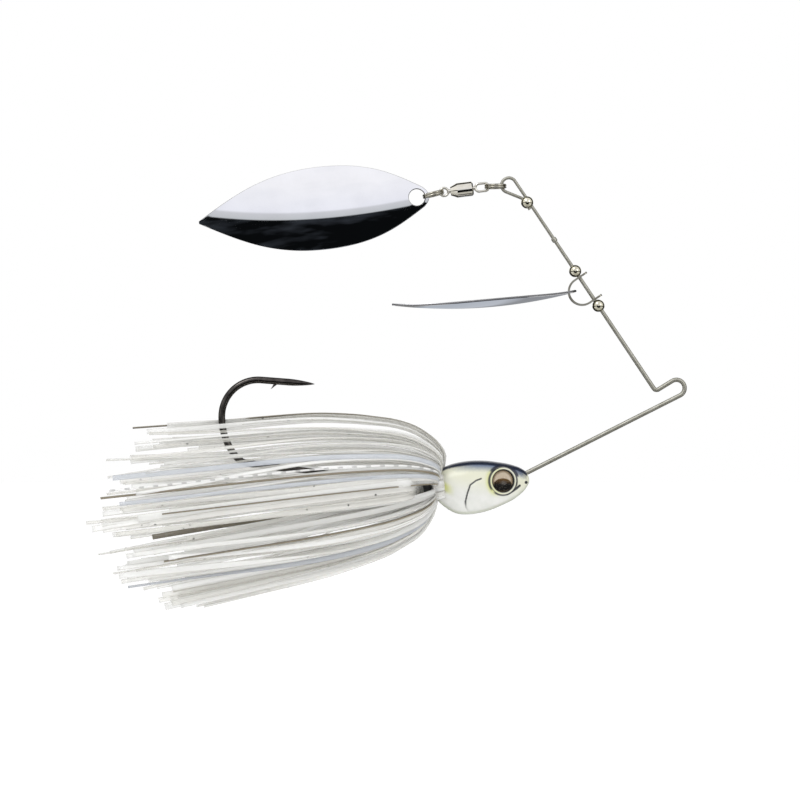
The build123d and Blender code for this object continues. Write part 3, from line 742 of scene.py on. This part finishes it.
silicones = {
    "pearl": silicone(
        "silicone_pearl", (0.97, 0.97, 0.96), (0.88, 0.88, 0.86), (0.66, 0.65, 0.60), 0.62),
    "clear_flake": silicone(
        "silicone_clear_flake", (0.92, 0.91, 0.88), (0.80, 0.79, 0.74), (0.50, 0.49, 0.43), 0.40, 0.10),
    "blue_grey": silicone(
        "silicone_blue_grey", (0.72, 0.75, 0.80), (0.55, 0.58, 0.63), (0.38, 0.40, 0.44), 0.55),
    "smoke": silicone(
        "silicone_smoke", (0.34, 0.29, 0.21), (0.18, 0.16, 0.12), (0.10, 0.09, 0.07), 0.85),
}

# Strands that stand out: (colour, azimuth, reach in mm, width in mm, strength of the silver dashes). The
# first, a thin smoke strand along the top, is painted shade: a dark strand laid along the skirt's top edge
# for the dark outline that edge shows.
MARKED = [("smoke", 2, 66, 0.4, 0), ("smoke", 246, 61, 0.45, 0), ("smoke", 275, 60, 0.3, 0),
          ("smoke", 289, 73, 0.5, 0), ("pearl", 293, 71, 0.45, 0.55), ("blue_grey", 301, 70, 1.1, 0),
          ("blue_grey", 284, 69, 0.9, 0)]


def strand_colour(rng, azimuth, near):
    """Mostly pearl and clear, with blue-grey at mid height on the near side and a few of smoke."""
    if near < 70 and rng.random() < 0.07:
        return "blue_grey"
    if near > 60 and rng.random() < 0.04:
        return "smoke"
    return "clear_flake" if rng.random() < 0.5 else "pearl"


def add_skirt():
    """Every strand, sorted by colour into one mesh each."""
    rng = random.Random(7)
    keys = ("verts", "rim", "along", "tone", "silver")
    made = {colour: {"faces": [], **{key: [] for key in keys}} for colour in silicones}

    def keep(colour, piece, tone, silver=0.0):
        verts, faces, rim, along = piece
        m = made[colour]
        start = sum(len(v) for v in m["verts"])
        m["faces"] += [tuple(i + start for i in f) for f in faces]
        numbers = (verts, rim, along, np.full(len(verts), tone), np.full(len(verts), silver))
        for key, value in zip(keys, numbers):
            m[key].append(value)

    outer, inner, curls = 108, 30, 7
    for k in range(outer):
        azimuth = 360 * (k + rng.uniform(-0.42, 0.42)) / outer
        near = abs(azimuth - 270)
        side_on = math.sin(math.radians(azimuth)) ** 2
        shrink = 1 - 0.42 * rng.random() ** 2.2
        reach = 65 + 12 * side_on - 15 * rng.random() ** 1.4
        width = rng.uniform(0.9, 1.7) * (0.6 if 295 < azimuth < 345 else 1.0)
        colour = strand_colour(rng, azimuth, near)
        if colour == "smoke":
            width *= 0.7
        start = rng.uniform(-0.35, 0.35) + (rng.choice([-1.2, 1.2]) if rng.random() < 0.16 else 0)
        points, az = bell_path(azimuth, shrink, reach, rng.gauss(0, 6.5), rng.gauss(0, 1.2), near < 10)
        piece = ribbon(points, az, width, rng.uniform(0.28, 0.38), start, rng.gauss(0, 1.3))
        keep(colour, piece, rng.random())
    for k in range(inner):
        azimuth = 360 * (k + rng.uniform(-0.4, 0.4)) / inner
        if abs((azimuth + 180) % 360 - 180) < 16:
            continue
        points, az = inner_path(azimuth, rng.uniform(5, 16), rng.uniform(58, 74), rng.gauss(0, 6))
        colour = rng.choices(["pearl", "clear_flake", "blue_grey", "smoke"], [6, 4, 1, 0.6])[0]
        piece = ribbon(points, az, rng.uniform(1.0, 1.4), 0.32, rng.uniform(-1, 1), rng.gauss(0, 0.8))
        keep(colour, piece, rng.random())
    for colour, azimuth, reach, width, silver in MARKED:
        points, az = bell_path(azimuth, 1.015, reach, 0, 0, False)
        keep(colour, ribbon(points, az, width, 0.3, 0.2, 0.3), 0.5, silver)
    for k in range(curls):
        azimuth = 270 + 26 * (k / (curls - 1) - 0.5) * 2 + rng.uniform(-3, 3)
        points, az = curl_path(azimuth, rng.uniform(0.8, 1.1))
        keep("clear_flake" if k % 2 else "pearl", ribbon(points, az, 1.1, 0.32, 0, 0), rng.random())
    for colour, m in made.items():
        obj = add_mesh(f"skirt_{colour}", np.vstack(m["verts"]), m["faces"], silicones[colour], "frame",
                       [f"skirt_strands_{colour}"])
        add_values(obj, **{key: np.concatenate(m[key]) for key in keys[1:]})


add_skirt()


# ---------------------------------------------------------------- studio

def add_camera():
    """A long lens level with the lure, looking along +Y."""
    width, lens_mm, sensor_mm = 0.180, 135, 36
    data = bpy.data.cameras.new("camera")
    data.lens = lens_mm
    data.sensor_width = sensor_mm
    data.clip_start = 0.01
    data.clip_end = 50
    camera = bpy.data.objects.new("camera", data)
    bpy.context.scene.collection.objects.link(camera)
    camera.location = (-0.0622, -width * lens_mm / sensor_mm, -0.0027)
    camera.rotation_euler = (math.pi / 2, 0, 0)
    bpy.context.scene.camera = camera


def add_light(name, place, size, power, target=(-0.062, 0, 0)):
    data = bpy.data.lights.new(name, "AREA")
    data.shape = "DISK"
    data.size = size
    data.energy = power
    light = bpy.data.objects.new(name, data)
    bpy.context.scene.collection.objects.link(light)
    light.location = place
    light.rotation_euler = (Vector(target) - Vector(place)).to_track_quat("-Z", "Y").to_euler()


def add_floor():
    """A wide pale floor, well below the lure."""
    material, shader = new_material("floor", Roughness=0.9, Specular_IOR_Level=0.1, Emission_Strength=0.24,
                                    Emission_Color=(1, 1, 1, 1))
    n = Nodes(material)
    n.link(n.ramp(n.noise(60.0), (0.3, (0.93, 0.93, 0.93)), (0.7, (0.95, 0.95, 0.95))), shader, "Base Color")
    radius_mm, drop_mm, count = 4000, -130, 64
    turns = np.linspace(0, 2 * np.pi, count, endpoint=False)
    verts = [(radius_mm * math.cos(a), radius_mm * math.sin(a), drop_mm) for a in turns]
    mesh = bpy.data.meshes.new("floor")
    mesh.from_pydata([tuple(c * MM for c in v) for v in verts], [], [tuple(range(count))])
    mesh.materials.append(material)
    floor = bpy.data.objects.new("floor", mesh)
    bpy.context.scene.collection.objects.link(floor)
    floor.visible_glossy = False


BLACK, DARK, WHITE = (0.003, 0.0035, 0.004), (0.035, 0.034, 0.028), (1.0, 1.0, 1.0)


def add_world():
    """White all round for light, and the bright and dark cards of a product studio for reflections."""
    world = bpy.data.worlds.new("studio")
    world.use_nodes = True
    bpy.context.scene.world = world
    world.node_tree.nodes.clear()
    n = Nodes(world, "Generated")
    x, y, z = n.parts(n.place)
    # The dark card straight in front: its upper edge sags in the middle, with a grey strip above it.
    sag = n.math("MULTIPLY_ADD", x, 1.0, -0.07)
    edge = n.math("MULTIPLY_ADD", sag, x, -0.097)
    above = n.math("MULTIPLY_ADD", n.math("SUBTRACT", z, edge), 0.5, 0.5)
    cloud = n.add("ShaderNodeTexNoise", {"Vector": n.place, "Scale": 5.0, "Detail": 3.0}).outputs["Fac"]
    card = n.ramp(above, (0.20, (0.6, 0.6, 0.58)), (0.22, BLACK), (0.497, BLACK), (0.503, (0.56, 0.58, 0.60)),
                  (0.545, (0.64, 0.65, 0.68)), (0.56, (0.88, 0.89, 0.95)), (0.75, (0.97, 0.97, 1.0)))
    card = n.mix(n.grey(cloud, (0.46, 0.0), (0.70, 0.08)), card, (0.40, 0.46, 0.56))
    # To the sides: white, with a thin dark strip a little below level and a grey floor.
    level = n.math("MULTIPLY_ADD", z, 0.5, 0.5)
    strip = n.ramp(level, (0.0, (0.5, 0.5, 0.48)), (0.12, (0.62, 0.62, 0.60)), (0.37, WHITE), (0.38, DARK),
                   (0.480, DARK), (0.49, WHITE), (1.0, WHITE))
    aside = n.grey(n.math("ABSOLUTE", x, 0.0), (0.50, 0.0), (0.56, 1.0))
    front = n.mix(aside, card, strip)
    # Behind the lure: a dark surround, a white window above level and a narrow pale one below it.
    slant = n.math("DIVIDE", x, n.math("MAXIMUM", n.math("MULTIPLY", z, -1.0), 0.01))
    below = n.ramp(n.math("MULTIPLY_ADD", slant, 0.5, 0.5), (0.47, BLACK), (0.49, (0.44, 0.48, 0.53)),
                   (0.59, (0.50, 0.53, 0.58)), (0.63, (0.28, 0.29, 0.31)))
    window = n.mix(n.grey(level, (0.497, 0.0), (0.503, 1.0)), below, WHITE)
    turned = n.math("MULTIPLY_ADD", y, 0.5, 0.5)
    back = n.mix(n.grey(turned, (0.87, 0.0), (0.88, 1.0)), DARK, window)
    behind = n.grey(turned, (0.49, 0.0), (0.56, 1.0))
    cards = n.add("ShaderNodeBackground", {"Color": n.mix(behind, front, back)})
    plain = n.add("ShaderNodeBackground", {"Color": (1, 1, 1, 1), "Strength": 0.85})
    seen = n.add("ShaderNodeBackground", {"Color": (1, 1, 1, 1), "Strength": 1.0})
    ray = n.add("ShaderNodeLightPath", {})
    glossy, direct = ray.outputs["Is Glossy Ray"], ray.outputs["Is Camera Ray"]
    lit = n.add("ShaderNodeMixShader", {0: glossy, 1: plain.outputs[0], 2: cards.outputs[0]})
    shown = n.add("ShaderNodeMixShader", {0: direct, 1: lit.outputs[0], 2: seen.outputs[0]})
    n.add("ShaderNodeOutputWorld", {"Surface": shown.outputs[0]})


add_camera()
add_floor()
add_world()
add_light("key", (-0.45, -0.55, 0.75), 0.5, 2.4)
add_light("fill", (0.55, -0.7, 0.35), 0.4, 0.9)
bpy.context.scene.view_settings.view_transform = "Standard"
bpy.context.scene.cycles.transparent_max_bounces = 24
